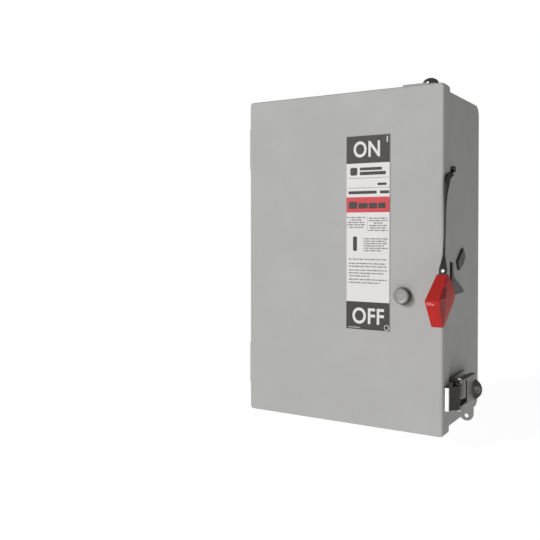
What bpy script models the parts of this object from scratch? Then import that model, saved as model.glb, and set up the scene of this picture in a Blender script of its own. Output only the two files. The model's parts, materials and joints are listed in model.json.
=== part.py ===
"""Side-operated fusible disconnect switch in a sheet-steel box that hangs on a wall.

The origin is the middle of the back face, on the wall. +X is to the right, +Z is up, and the
wall is on the +Y side, so the door faces -Y. The handle is at OFF and the door is closed.
"""

from math import cos, pi, radians, sin

import bmesh
import bpy
from mathutils import Vector

MM = 0.001
GAP = 0.3 * MM  # left between pieces that touch

# Box and door
DOOR_HALF_WIDTH = 139.5 * MM
DOOR_HALF_HEIGHT = 215 * MM
DOOR_FRONT_Y = -172 * MM
DOOR_DEPTH = 22 * MM
SHEET = 2 * MM
BOX_HALF_WIDTH = 134 * MM
BOX_HALF_HEIGHT = 209.5 * MM
BOX_FRONT_Y = -165 * MM
BOX_BEND_RADIUS = 14 * MM  # where the top and bottom walls turn into the rear flange
FOOT_X = 118 * MM
FOOT_Z = -225 * MM

# Closing plate over the conduit opening in the top wall, and its bolt, as (X, Y)
HUB_CENTRE = (90.5 * MM, -110 * MM)
HUB_TOP_Z = 223.6 * MM
HUB_BOLT = (98.5 * MM, -102 * MM)

# Door hinge axis, left of the door and just behind its folded edge
HINGE_X = -143.5 * MM
HINGE_Y = -146.5 * MM
HINGE_HEIGHTS = {"upper": 150 * MM, "lower": -150 * MM}
KNUCKLE_RADIUS = 4 * MM
HINGE_PIN_RADIUS = 2 * MM

# Push button
BUTTON_X = 88 * MM
BUTTON_Z = -44.7 * MM
BUTTON_RADIUS = 9.8 * MM
BUTTON_STEM_RADIUS = 4 * MM

# Handle axis, which runs along X through the right wall
HANDLE_Y = -141 * MM
HANDLE_Z = 112 * MM
SHAFT_RADIUS = 6 * MM
BOLT_RADIUS = 2.6 * MM
CRANK_LENGTH = 24 * MM
CRANK_ANGLE = radians(110)  # from +Y towards +Z, with the handle at OFF

# Contact axis, about which the three blades swing
CONTACT_Y = -62 * MM
CONTACT_Z = 72 * MM
BLADE_ANGLE = radians(165)
BLADE_HALF_THICKNESS = 1.5 * MM
POLES = {"left": -64 * MM, "middle": -14 * MM, "right": 36 * MM}
BASE_FRONT_Y = -26 * MM

# Door latch
LEVER_X = 146.5 * MM
LEVER_Y = -135 * MM
LINK_X = 143 * MM
LINK_Y = -115 * MM
LATCH_Z = -168 * MM
LINK_HALF = 14 * MM
LINK_ARM_HALF = 10.5 * MM
LEVER_SIDE = (14.3 * MM, 16.3 * MM)  # above and below the latch's middle, as are the next two
LATCH_EAR = (16.6 * MM, 18.6 * MM)
RIVET_HEAD = (18.9 * MM, 20.3 * MM)

# Shield over the line terminals
SHIELD_Y = -102 * MM
SHIELD_Z = 168 * MM

LOOKS = {
    "grey_paint": ((0.46, 0.46, 0.45), 0.5, 0.0),
    "black_steel": ((0.02, 0.02, 0.02), 0.4, 0.3),
    "zinc_steel": ((0.62, 0.62, 0.60), 0.35, 1.0),
    "copper": ((0.72, 0.68, 0.62), 0.35, 1.0),
    "red_plastic": ((0.45, 0.03, 0.03), 0.4, 0.0),
    "button_plastic": ((0.42, 0.42, 0.41), 0.5, 0.0),
    "label_white": ((0.8, 0.8, 0.79), 0.5, 0.0),
    "black_rubber": ((0.03, 0.03, 0.03), 0.8, 0.0),
    "moulded_base": ((0.07, 0.06, 0.06), 0.6, 0.0),
    "clear_shield": ((0.75, 0.78, 0.78), 0.2, 0.0),
    "fuse_paper": ((0.35, 0.32, 0.22), 0.6, 0.0),
    "brass": ((0.7, 0.55, 0.25), 0.35, 1.0),
}


def clear_scene():
    for old in list(bpy.data.objects):
        bpy.data.objects.remove(old)


def material(name):
    found = bpy.data.materials.get(name)
    if found:
        return found
    colour, roughness, metallic = LOOKS[name]
    made = bpy.data.materials.new(name)
    made.use_nodes = True
    shader = made.node_tree.nodes["Principled BSDF"]
    shader.inputs["Base Color"].default_value = (*colour, 1)
    shader.inputs["Roughness"].default_value = roughness
    shader.inputs["Metallic"].default_value = metallic
    return made


def pivot(name, x=0.0, y=0.0, z=0.0, parent=None):
    """An empty on a joint's axis. What moves with the joint is parented to it."""
    empty = bpy.data.objects.new(name, None)
    bpy.context.collection.objects.link(empty)
    empty.location = (x, y, z)
    if parent:
        empty.parent = parent
        empty.location = Vector((x, y, z)) - parent.matrix_world.translation
    bpy.context.view_layer.update()
    return empty


# Shapes: each returns a bmesh that is one closed body


def box(xs, ys, zs):
    """A box between the two values of each pair."""
    bm = bmesh.new()
    bmesh.ops.create_cube(bm, size=1)
    for v in bm.verts:
        v.co = [(lo + hi) / 2 + c * (hi - lo) for c, (lo, hi) in zip(v.co, (xs, ys, zs))]
    return bm


def rounded_box(xs, ys, zs, edges, radius, segments=4):
    """A box with the edges that edges(a, b) picks, by their end points, rounded."""
    bm = box(xs, ys, zs)
    picked = [e for e in bm.edges if edges(*(v.co for v in e.verts))]
    bmesh.ops.bevel(bm, geom=picked, offset=radius, segments=segments, profile=0.5, affect="EDGES")
    return bm


AXES = {"X": (1, 2, 0), "Y": (2, 0, 1), "Z": (0, 1, 2)}


def prism(outline, axis, lo, hi):
    """An outline extruded along an axis. Its points are (Y, Z) for X, (Z, X) for Y, (X, Y) for Z."""
    first, second, along = AXES[axis]
    area = sum(a[0] * b[1] - b[0] * a[1] for a, b in zip(outline, outline[1:] + outline[:1]))
    points = outline if area > 0 else outline[::-1]
    bm = bmesh.new()
    rings = []
    for level in (lo, hi):
        ring = []
        for point in points:
            co = [0, 0, 0]
            co[first], co[second], co[along] = point[0], point[1], level
            ring.append(bm.verts.new(co))
        rings.append(ring)
    bm.faces.new(rings[0][::-1])
    bm.faces.new(rings[1])
    for i in range(len(points)):
        j = (i + 1) % len(points)
        bm.faces.new((rings[0][i], rings[0][j], rings[1][j], rings[1][i]))
    return bm


def arc(centre, radius, start, end, steps):
    """Points round a centre from one angle to another, in degrees."""
    angles = [radians(start + (end - start) * i / steps) for i in range(steps + 1)]
    return [(centre[0] + radius * cos(a), centre[1] + radius * sin(a)) for a in angles]


def disc(centre, axis, radius, lo, hi, sides=20):
    """A round bar along an axis. Its centre is given as prism's points are."""
    return prism(arc(centre, radius, 0, 360 * (1 - 1 / sides), sides - 1), axis, lo, hi)


def along(centre, angle, forward, side):
    """The (Y, Z) point that lies forward and to the side of a centre, in a direction."""
    y = centre[0] + forward * cos(angle) - side * sin(angle)
    z = centre[1] + forward * sin(angle) + side * cos(angle)
    return (y, z)


def bar_outline(centre, angle, reach, half_width, round_end=False):
    """A straight bar's outline in (Y, Z), from reach[0] to reach[1] in a direction."""
    sides = ((reach[0], -1), (reach[1], -1), (reach[1], 1), (reach[0], 1))
    if not round_end:
        return [along(centre, angle, forward, side * half_width) for forward, side in sides]
    heading = angle * 180 / pi
    ends = (along(centre, angle, reach[0], 0), along(centre, angle, reach[1], 0))
    back = arc(ends[0], half_width, heading + 90, heading + 270, 8)
    return back + arc(ends[1], half_width, heading - 90, heading + 90, 8)


def mesh_object(name, bm, smooth=True):
    bmesh.ops.recalc_face_normals(bm, faces=bm.faces)
    mesh = bpy.data.meshes.new(name)
    bm.to_mesh(mesh)
    bm.free()
    if smooth:
        mesh.shade_smooth()
        mesh.set_sharp_from_angle(angle=radians(35))
    made = bpy.data.objects.new(name, mesh)
    bpy.context.collection.objects.link(made)
    return made


def piece(name, look, shape, joined=(), cut=(), parent=None):
    """A node: one shape, with others joined to it and others cut out of it."""
    made = mesh_object(name, shape)
    made.data.materials.append(material(look))
    if parent:
        made.parent = parent
        made.location = -parent.matrix_world.translation
    for operation, shapes in (("UNION", joined), ("DIFFERENCE", cut)):
        for number, other in enumerate(shapes, 1):
            tool = mesh_object(f"{name}.{operation.lower()}.{number}", other)
            tool.hide_render = True
            tool.display_type = "WIRE"
            boolean = made.modifiers.new(f"{operation.lower()} {number}", "BOOLEAN")
            boolean.operation = operation
            boolean.solver = "EXACT"
            boolean.object = tool
    return made


def spring(name, look, centre, axis, radius, wire_radius, ends, turns, parent=None):
    """A coil of round wire along the X or Y axis."""
    steps = 12 * turns
    curve = bpy.data.curves.new(name, "CURVE")
    curve.dimensions = "3D"
    curve.bevel_depth = wire_radius
    curve.bevel_resolution = 1
    curve.use_fill_caps = True
    line = curve.splines.new("POLY")
    line.points.add(steps)
    for i, point in enumerate(line.points):
        angle = 2 * pi * turns * i / steps
        level = ends[0] + (ends[1] - ends[0]) * i / steps
        across = (centre[0] + radius * cos(angle), centre[1] + radius * sin(angle))
        if axis == "X":
            point.co = (level, across[0], across[1], 1)
        else:
            point.co = (across[1], level, across[0], 1)
    made = bpy.data.objects.new(name, curve)
    bpy.context.collection.objects.link(made)
    curve.materials.append(material(look))
    if parent:
        made.parent = parent
        made.location = -parent.matrix_world.translation
    return made


# The box


def enclosure():
    """The box: four walls and a rear flange, open at the front, with a lip round the opening."""
    w, h = BOX_HALF_WIDTH, BOX_HALF_HEIGHT
    back = -SHEET - GAP

    def tray(inset, front, bend):
        rear = back - inset
        outline = [(front, inset - h)] + arc((rear - bend, inset - h + bend), bend, -90, 0, 6)
        outline += arc((rear - bend, h - inset - bend), bend, 0, 90, 6) + [(front, h - inset)]
        return prism(outline, "X", inset - w, w - inset)

    shell = tray(0, BOX_FRONT_Y, BOX_BEND_RADIUS)
    inside = tray(SHEET, BOX_FRONT_Y + SHEET, BOX_BEND_RADIUS - SHEET)
    lip = 10 * MM
    mouth_ys = (BOX_FRONT_Y - 5 * MM, BOX_FRONT_Y + 10 * MM)
    openings = [
        box((lip - w, w - lip), mouth_ys, (lip - h, h - lip)),
        box((-105 * MM, 105 * MM), (-20 * MM, 10 * MM), (-175 * MM, 175 * MM)),
        disc(HUB_CENTRE, "Z", 17 * MM, 180 * MM, 230 * MM, 24),
        disc((HANDLE_Y, HANDLE_Z), "X", 9.3 * MM, 120 * MM, 145 * MM, 24),
    ]
    piece("enclosure_body", "grey_paint", shell, cut=[inside, *openings])


def back_panel():
    """The rear sheet, with two feet below and an ear above for the wall screws."""
    half_height = 192 * MM
    foot_half = 10 * MM
    feet, holes = [], []
    for x in (-FOOT_X, FOOT_X):
        foot = arc((FOOT_Z, x), foot_half, 90, 270, 10)
        foot += [(-180 * MM, x - foot_half), (-180 * MM, x + foot_half)]
        feet.append(prism(foot, "Y", -SHEET, 0))
        holes.append(disc((FOOT_Z - 3 * MM, x), "Y", 3 * MM, -10 * MM, 10 * MM, 16))
    ear = arc((226 * MM, 0), 12 * MM, -90, 90, 10) + [(180 * MM, 12 * MM), (180 * MM, -12 * MM)]
    feet.append(prism(ear, "Y", -SHEET, 0))
    holes.append(disc((224 * MM, 0), "Y", 5 * MM, -10 * MM, 10 * MM, 16))
    sheet = box((-128 * MM, 128 * MM), (-SHEET, 0), (-half_height, half_height))
    piece("back_panel", "grey_paint", sheet, joined=feet, cut=holes)


def top_hub():
    """A raised closing plate over the opening for a conduit hub, and the domed bolt that holds it."""
    xs = (HUB_CENTRE[0] - 21.5 * MM, HUB_CENTRE[0] + 21.5 * MM)
    ys = (HUB_CENTRE[1] - 32 * MM, HUB_CENTRE[1] + 32 * MM)
    bottom, slope = BOX_HALF_HEIGHT + GAP, 5 * MM

    def pan(inset, low, high):
        inner_xs = (xs[0] + inset, xs[1] - inset)
        bm = box(inner_xs, (ys[0] + inset, ys[1] - inset), (low, high))
        for v in bm.verts:
            if v.co.z > (low + high) / 2:
                v.co.x += slope if v.co.x < sum(xs) / 2 else -slope
                v.co.y += slope if v.co.y < sum(ys) / 2 else -slope
        return bm

    hollow = pan(SHEET, bottom - MM, HUB_TOP_Z - SHEET)
    bolt_hole = disc(HUB_BOLT, "Z", 5 * MM, 215 * MM, 235 * MM)
    piece("hub_plate", "grey_paint", pan(0, bottom, HUB_TOP_Z), cut=[hollow, bolt_hole])

    dome = [(0, 236.2), (4.5, 235.6), (8, 233.6), (10.1, 230.9), (10.5, 228.6), (10.5, 227.8)]
    stem = [(6, 227.8), (6, 223.9), (4.4, 223.9), (4.4, 213), (0, 213)]
    turned("hub_cap", "black_steel", HUB_BOLT, dome + stem)


def turned(name, look, centre, profile):
    """A solid turned about a vertical line, from (radius, height) points in millimetres."""
    bm = bmesh.new()
    points = [bm.verts.new((centre[0] + r * MM, centre[1], z * MM)) for r, z in profile]
    edges = [bm.edges.new(pair) for pair in zip(points, points[1:])]
    turn = {"cent": (*centre, 0), "axis": (0, 0, 1), "angle": 2 * pi, "steps": 24, "use_merge": True}
    bmesh.ops.spin(bm, geom=points + edges, **turn)
    bmesh.ops.remove_doubles(bm, verts=bm.verts, dist=0.01 * MM)
    return piece(name, look, bm)


def hinges(door):
    """Two butt hinges. The door's leaf has the middle knuckle, and the box's leaf has the outer two."""
    axis = (HINGE_X, HINGE_Y)
    inner, outer, half_leaf = 10 * MM, 30 * MM, 28 * MM
    for place, z in HINGE_HEIGHTS.items():
        hole = disc(axis, "Z", HINGE_PIN_RADIUS + GAP, z - 50 * MM, z + 50 * MM, 16)
        wall = -BOX_HALF_WIDTH - GAP
        leaf = box((wall - SHEET, wall), (-150 * MM, -122 * MM), (z - outer, z + outer))
        knuckles = []
        for low, high in ((z - outer, z - inner - GAP), (z + inner + GAP, z + outer)):
            knuckles.append(disc(axis, "Z", KNUCKLE_RADIUS, low, high, 16))
            knuckles.append(box((HINGE_X, wall - MM), (-148.5 * MM, -144.5 * MM), (low, high)))
        piece(f"hinge_leaf_box_{place}", "grey_paint", leaf, joined=knuckles, cut=[hole])

        hole = disc(axis, "Z", HINGE_PIN_RADIUS + GAP, z - 50 * MM, z + 50 * MM, 16)
        side = -DOOR_HALF_WIDTH - GAP
        leaf = box((side - 1.7 * MM, side), (-168 * MM, -151 * MM), (z - half_leaf, z + half_leaf))
        tongue = box((side - 1.7 * MM, side), (-152 * MM, HINGE_Y), (z - inner, z + inner))
        knuckle = disc(axis, "Z", KNUCKLE_RADIUS, z - inner, z + inner, 16)
        joined = [tongue, knuckle]
        piece(f"hinge_leaf_door_{place}", "grey_paint", leaf, joined, cut=[hole], parent=door)

        shank = disc(axis, "Z", HINGE_PIN_RADIUS, z - 32 * MM, z + 31 * MM, 16)
        head = disc(axis, "Z", 3.2 * MM, z + outer + GAP, z + 32 * MM, 16)
        piece(f"hinge_pin_{place}", "zinc_steel", shank, joined=[head])


# The door and what it carries


def door_pan(door):
    w, h = DOOR_HALF_WIDTH, DOOR_HALF_HEIGHT
    rear = DOOR_FRONT_Y + DOOR_DEPTH

    def pan(inset, front, back, corner, bend):
        sizes = ((inset - w, w - inset), (front, back), (inset - h, h - inset))
        bm = rounded_box(*sizes, lambda a, b: abs(a.y - b.y) > MM, corner, 3)
        face = [e for e in bm.edges if all(v.co.y < front + MM for v in e.verts)]
        bmesh.ops.bevel(bm, geom=face, offset=bend, segments=3, profile=0.5, affect="EDGES")
        return bm

    shell = pan(0, DOOR_FRONT_Y, rear, 5 * MM, 3.5 * MM)
    hollow = pan(SHEET, DOOR_FRONT_Y + SHEET, rear + 10 * MM, 3 * MM, 1.5 * MM)
    hole = disc((BUTTON_Z, BUTTON_X), "Y", BUTTON_RADIUS + 0.6 * MM, -180 * MM, -160 * MM, 28)
    piece("door", "grey_paint", shell, cut=[hollow, hole], parent=door)


def gasket(door):
    """A foam ring inside the door, which meets the lip round the box's opening."""
    ys = (DOOR_FRONT_Y + SHEET + GAP, BOX_FRONT_Y - GAP)
    outer_x, outer_z, width = 132.5 * MM, 208 * MM, 8 * MM
    ring = box((-outer_x, outer_x), ys, (-outer_z, outer_z))
    inner_x, inner_z = outer_x - width, outer_z - width
    window = box((-inner_x, inner_x), (-180 * MM, -150 * MM), (-inner_z, inner_z))
    piece("door_gasket", "black_rubber", ring, cut=[window], parent=door)


def label(door):
    ys = (DOOR_FRONT_Y - GAP - 0.4 * MM, DOOR_FRONT_Y - GAP)
    plate = box((10.4 * MM, 70.4 * MM), ys, (-90.6 * MM, 157.4 * MM))
    piece("label_plate", "label_white", plate, parent=door)


def push_button(door):
    """A round button in a bezel. Its stem runs in a bracket inside the door and tips a rocker."""
    centre = (BUTTON_Z, BUTTON_X)
    bezel_hole = disc(centre, "Y", BUTTON_RADIUS + GAP, -190 * MM, -160 * MM, 28)
    bezel = disc(centre, "Y", 11.4 * MM, DOOR_FRONT_Y - 1.8 * MM, DOOR_FRONT_Y - GAP, 28)
    piece("button_bezel", "black_steel", bezel, cut=[bezel_hole], parent=door)

    button = pivot("button_axis", BUTTON_X, DOOR_FRONT_Y, BUTTON_Z, door)
    head = disc(centre, "Y", BUTTON_RADIUS, DOOR_FRONT_Y - 8 * MM, -166 * MM, 28)
    collar = disc(centre, "Y", 12.5 * MM, -169.5 * MM, -167 * MM, 28)
    stem = disc(centre, "Y", BUTTON_STEM_RADIUS, -168 * MM, -142 * MM, 16)
    piece("push_button", "button_plastic", head, joined=[collar, stem], parent=button)

    half, foot_z = 16 * MM, BUTTON_Z - 34 * MM
    xs = (BUTTON_X - half, BUTTON_X + half)
    plate = box(xs, (-150 * MM, -148 * MM), (foot_z, BUTTON_Z + half))
    wall_ys = (DOOR_FRONT_Y + SHEET + GAP, -148.5 * MM)
    walls = []
    for wall_xs in ((xs[0], xs[0] + SHEET), (xs[1] - SHEET, xs[1])):
        walls.append(box(wall_xs, wall_ys, (BUTTON_Z - half, BUTTON_Z + half)))
    for wall_xs in ((BUTTON_X - 6 * MM, BUTTON_X - 4 * MM), (BUTTON_X + 4 * MM, BUTTON_X + 6 * MM)):
        walls.append(box(wall_xs, (-149 * MM, -134 * MM), (foot_z, BUTTON_Z - half)))
    rocker_axis = (-139 * MM, BUTTON_Z - 22 * MM)
    walls.append(disc(rocker_axis, "X", 2 * MM, BUTTON_X - 5 * MM, BUTTON_X + 5 * MM, 12))
    stem_hole = disc(centre, "Y", BUTTON_STEM_RADIUS + 0.5 * MM, -160 * MM, -140 * MM, 16)
    piece("interlock_bracket", "zinc_steel", plate, joined=walls, cut=[stem_hole], parent=door)

    spring("button_spring", "zinc_steel", centre, "Y", 6.4 * MM, 0.5 * MM, (-161.5 * MM, -151 * MM), 4, door)

    rocker = pivot("interlock_axis", BUTTON_X, *rocker_axis, door)
    bar = bar_outline(rocker_axis, pi / 2, (-8 * MM, 24 * MM), 2.4 * MM, True)
    hub = disc(rocker_axis, "X", 4.5 * MM, BUTTON_X - 3 * MM, BUTTON_X + 3 * MM, 16)
    hole = disc(rocker_axis, "X", 2.4 * MM, BUTTON_X - 9 * MM, BUTTON_X + 9 * MM, 12)
    blade = prism(bar, "X", BUTTON_X - 1.5 * MM, BUTTON_X + 1.5 * MM)
    piece("interlock_rocker", "zinc_steel", hub, joined=[blade], cut=[hole], parent=rocker)


def keeper(door):
    """The strip on the door's right edge that the latch hooks over."""
    side = DOOR_HALF_WIDTH + GAP
    half = 11 * MM
    strip = box((side, side + 2.5 * MM), (-167 * MM, -156 * MM), (LATCH_Z - half, LATCH_Z + half))
    piece("door_keeper", "zinc_steel", strip, parent=door)


# The handle


def arm_strip(margin):
    """The bowed arm from the handle's eye to the grip. Its flat turns to face forward at the grip."""
    # X, Y and Z of the middle, half the width seen from the side, and half the width seen from the front
    stations = [
        (141.7, -145.2, 105.9, 2.4, 1.0),
        (141.7, -152.0, 104.6, 2.6, 1.0),
        (141.8, -159.0, 102.4, 3.6, 1.0),
        (141.9, -164.5, 98.4, 6.0, 1.0),
        (141.9, -168.4, 93.4, 6.6, 1.0),
        (142.0, -171.3, 87.5, 5.4, 1.0),
        (142.2, -174.0, 80.0, 4.0, 1.0),
        (142.6, -176.5, 72.0, 3.0, 0.9),
        (143.4, -180.3, 62.0, 2.0, 0.9),
        (144.4, -183.5, 49.0, 1.4, 0.9),
        (145.4, -187.0, 33.0, 1.2, 0.9),
        (146.4, -191.5, 19.0, 1.2, 0.9),
        (147.6, -196.5, 8.0, 1.3, 1.2),
        (148.6, -201.0, -2.0, 1.4, 3.0),
        (149.2, -204.0, -8.0, 1.4, 4.6),
        (149.2, -205.3, -12.0, 1.4, 4.6),
        (148.8, -206.5, -18.0, 1.4, 4.0),
        (148.8, -214.0, -46.0, 1.4, 4.0),
    ]
    points = [Vector(station[:3]) * MM for station in stations]
    bm = bmesh.new()
    rings = []
    for i, point in enumerate(points):
        before, after = points[max(i - 1, 0)], points[min(i + 1, len(points) - 1)]
        heading = (after - before).normalized()
        side_half, front_half = (half * MM + margin for half in stations[i][3:])
        across = heading.cross(Vector((1, 0, 0))).normalized() * side_half
        out = Vector((front_half, 0, 0))
        if i == len(points) - 1:
            point = point + heading * margin
        corners = (point - across - out, point + across - out, point + across + out, point - across + out)
        rings.append([bm.verts.new(corner) for corner in corners])
    bm.faces.new(rings[0])
    bm.faces.new(rings[-1][::-1])
    for low, high in zip(rings, rings[1:]):
        for i in range(4):
            j = (i + 1) % 4
            bm.faces.new((low[i], high[i], high[j], low[j]))
    return bm


def grip_shape():
    """An eight-sided lozenge whose right and left faces rise to a low point in the middle."""
    # Y and Z of each corner, and the X of its left and right ends
    corners = [
        (-209.5, -14.4, 143.0, 155.8),
        (-200.5, -14.3, 143.0, 154.2),
        (-190.0, -22.0, 142.0, 155.0),
        (-182.4, -35.3, 141.0, 156.5),
        (-182.4, -45.0, 141.0, 156.5),
        (-217.9, -74.2, 142.0, 155.0),
        (-224.7, -73.7, 142.0, 155.0),
        (-244.0, -42.5, 140.5, 157.9),
    ]
    middle_y, middle_z = -224 * MM, -41 * MM
    bm = bmesh.new()
    left = [bm.verts.new((x * MM, y * MM, z * MM)) for y, z, x, _ in corners]
    right = [bm.verts.new((x * MM, y * MM, z * MM)) for y, z, _, x in corners]
    left_point = bm.verts.new((139.6 * MM, middle_y, middle_z))
    right_point = bm.verts.new((159.2 * MM, middle_y, middle_z))
    rim = []
    for i in range(len(corners)):
        j = (i + 1) % len(corners)
        band = bm.faces.new((left[i], left[j], right[j], right[i]))
        bm.faces.new((right[i], right[j], right_point))
        bm.faces.new((left[j], left[i], left_point))
        rim += [edge for edge in band.edges if edge not in rim]
    bmesh.ops.bevel(bm, geom=rim, offset=1.2 * MM, segments=2, profile=0.6, affect="EDGES")
    return bm


def handle():
    """Everything that turns with the grip: arm, bolt, shaft and the crank on the shaft's inner end."""
    turning = pivot("handle_axis", 0, HANDLE_Y, HANDLE_Z)
    axis = (HANDLE_Y, HANDLE_Z)
    wall = BOX_HALF_WIDTH

    # The eye lies close to the wall, behind the door's folded edge. A short fold brings the arm outside it.
    down = radians(235)
    eye = disc(axis, "X", 6.3 * MM, wall + 0.6 * MM, wall + 3 * MM, 28)
    neck = bar_outline(axis, down, (4 * MM, 7.4 * MM), 2.1 * MM)
    step = bar_outline(axis, down, (5.8 * MM, 8.2 * MM), 2.6 * MM)
    joined = [prism(neck, "X", wall + 0.9 * MM, wall + 2.7 * MM)]
    joined.append(prism(step, "X", wall + 1.2 * MM, 142.1 * MM))
    bolt_hole = disc(axis, "X", BOLT_RADIUS + GAP, wall - 5 * MM, wall + 12 * MM, 16)
    rivet_at = (-10.2 * MM, 150.2 * MM)
    rivet_hole = disc(rivet_at, "Y", 1.2 * MM, -215 * MM, -195 * MM, 12)
    joined.append(arm_strip(0))
    piece("handle_arm", "black_steel", eye, joined, [bolt_hole, rivet_hole], turning)
    shank = disc(rivet_at, "Y", 0.9 * MM, -207.5 * MM, -201.5 * MM, 12)
    head = disc(rivet_at, "Y", 1.8 * MM, -208.4 * MM, -207.2 * MM, 16)
    piece("arm_rivet", "zinc_steel", shank, joined=[head], parent=turning)

    piece("handle_grip", "red_plastic", grip_shape(), cut=[arm_strip(GAP)], parent=turning)

    washer = disc(axis, "X", 5.8 * MM, 137.3 * MM, 138.4 * MM, 24)
    washer_hole = disc(axis, "X", BOLT_RADIUS + GAP, 130 * MM, 145 * MM, 16)
    piece("handle_washer", "zinc_steel", washer, cut=[washer_hole], parent=turning)
    hexagon = disc(axis, "X", 4.5 * MM, 138.7 * MM, 143.3 * MM, 6)
    bolt_shank = disc(axis, "X", BOLT_RADIUS, 122 * MM, 140 * MM, 16)
    piece("handle_bolt", "zinc_steel", hexagon, joined=[bolt_shank], parent=turning)

    shaft = disc(axis, "X", SHAFT_RADIUS, 87.3 * MM, wall + 0.3 * MM, 20)
    tapped = disc(axis, "X", BOLT_RADIUS + GAP, 120 * MM, 145 * MM, 16)
    piece("handle_shaft", "zinc_steel", shaft, cut=[tapped], parent=turning)

    pin_at = along(axis, CRANK_ANGLE, CRANK_LENGTH, 0)
    outline = bar_outline(axis, CRANK_ANGLE, (0, CRANK_LENGTH), 8 * MM, True)
    crank = prism(outline, "X", 83 * MM, 87 * MM)
    crank_pin = disc(pin_at, "X", 3 * MM, 78.7 * MM, 85 * MM, 16)
    piece("shaft_crank", "zinc_steel", crank, joined=[crank_pin], parent=turning)


def drive_link():
    """The bar from the shaft's crank to the contact crank, parallel to the line between the two axes."""
    start = along((HANDLE_Y, HANDLE_Z), CRANK_ANGLE, CRANK_LENGTH, 0)
    end = along((CONTACT_Y, CONTACT_Z), CRANK_ANGLE, CRANK_LENGTH, 0)
    turning = pivot("link_axis", 0, *start)
    run = Vector(end) - Vector(start)
    angle = Vector((1, 0)).angle_signed(run) * -1
    plate = prism(bar_outline(start, angle, (0, run.length), 6 * MM, True), "X", 79 * MM, 82 * MM)
    holes = [disc(at, "X", 3 * MM + GAP, 70 * MM, 90 * MM, 16) for at in (start, end)]
    piece("drive_link", "zinc_steel", plate, cut=holes, parent=turning)


def shaft_support():
    """A bush in the wall, a square tube that carries the shaft's inner end, and the snap spring in it."""
    axis = (HANDLE_Y, HANDLE_Z)
    bush = disc(axis, "X", 9 * MM, 126.5 * MM, 134.2 * MM, 24)
    flange = disc(axis, "X", 12 * MM, 124 * MM, 129.4 * MM, 24)
    bore = disc(axis, "X", SHAFT_RADIUS + GAP, 110 * MM, 145 * MM, 24)
    piece("shaft_bush", "brass", bush, joined=[flange], cut=[bore])

    outer = box((92 * MM, 131.7 * MM), (-160 * MM, -122 * MM), (82 * MM, 142 * MM))
    inner = box((94 * MM, 129.7 * MM), (-170 * MM, -110 * MM), (84 * MM, 140 * MM))
    shaft_hole = disc(axis, "X", SHAFT_RADIUS + GAP, 85 * MM, 110 * MM, 24)
    bush_hole = disc(axis, "X", 9.3 * MM, 120 * MM, 140 * MM, 24)
    piece("mechanism_frame", "zinc_steel", outer, cut=[inner, shaft_hole, bush_hole])
    spring("snap_spring", "zinc_steel", axis, "X", 9.5 * MM, 1.2 * MM, (97 * MM, 120 * MM), 5)


# The switch inside


def barrier(x, zs):
    return box((x - 1.5 * MM, x + 1.5 * MM), (-56 * MM, BASE_FRONT_Y + MM), zs)


def switch_base():
    """The moulded base: a plate on four feet, two cheeks, and walls between the poles."""
    plate = box((-97 * MM, 69 * MM), (BASE_FRONT_Y, -16 * MM), (-134 * MM, 162 * MM))
    joined, cut = [], []
    for x in (-85 * MM, 57 * MM):
        for z in (-120 * MM, 148 * MM):
            joined.append(disc((z, x), "Y", 8 * MM, -17 * MM, -SHEET - GAP, 16))
    cheek = [(-17, 44), (-72, 44), (-72, 60), (-52, 92), (-60, 130), (-108, 160), (-108, 176), (-17, 176)]
    for xs in ((-97 * MM, -93 * MM), (65 * MM, 69 * MM)):
        joined.append(prism([(y * MM, z * MM) for y, z in cheek], "X", *xs))
    for x in (-39 * MM, 11 * MM):
        joined.append(barrier(x, (-130 * MM, 48 * MM)))
        joined.append(barrier(x, (126 * MM, 158 * MM)))
    cut.append(disc((CONTACT_Y, CONTACT_Z), "X", 5.3 * MM, -110 * MM, 80 * MM, 20))
    cut.append(disc((SHIELD_Y, SHIELD_Z), "X", 2.4 * MM, -110 * MM, 80 * MM, 16))
    piece("switch_base", "moulded_base", plate, joined=joined, cut=cut)


def lug(x, zs):
    """A wire lug with its bore along Z, and its screw, on the plate's front."""
    body = box((x - 11 * MM, x + 11 * MM), (-54 * MM, -29 * MM), zs)
    middle = sum(zs) / 2
    screw = disc((middle, x), "Y", 5 * MM, -60 * MM, -53 * MM, 16)
    bore = disc((x, -41.5 * MM), "Z", 5.5 * MM, zs[0] - 5 * MM, zs[1] + 5 * MM, 16)
    slot = box((x - 6 * MM, x + 6 * MM), (-62 * MM, -58.6 * MM), (middle - 0.8 * MM, middle + 0.8 * MM))
    return [body, screw], [bore, slot]


def leaves(x, ys, zs):
    """Two contact leaves with a blade's thickness between them."""
    inner, outer = BLADE_HALF_THICKNESS + 0.4 * MM, BLADE_HALF_THICKNESS + 1.9 * MM
    return [box(xs, ys, zs) for xs in ((x - outer, x - inner), (x + inner, x + outer))]


def fuse_clip(x, zs):
    """Two spring arms that hold a fuse's end cap from its sides."""
    inner, outer = 13.5 * MM, 15 * MM
    root = box((x - outer, x + outer), (-31.8 * MM, -29.5 * MM), zs)
    sides = ((x - outer, x - inner), (x + inner, x + outer))
    return [root] + [box(xs, (-56 * MM, -30 * MM), zs) for xs in sides]


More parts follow.
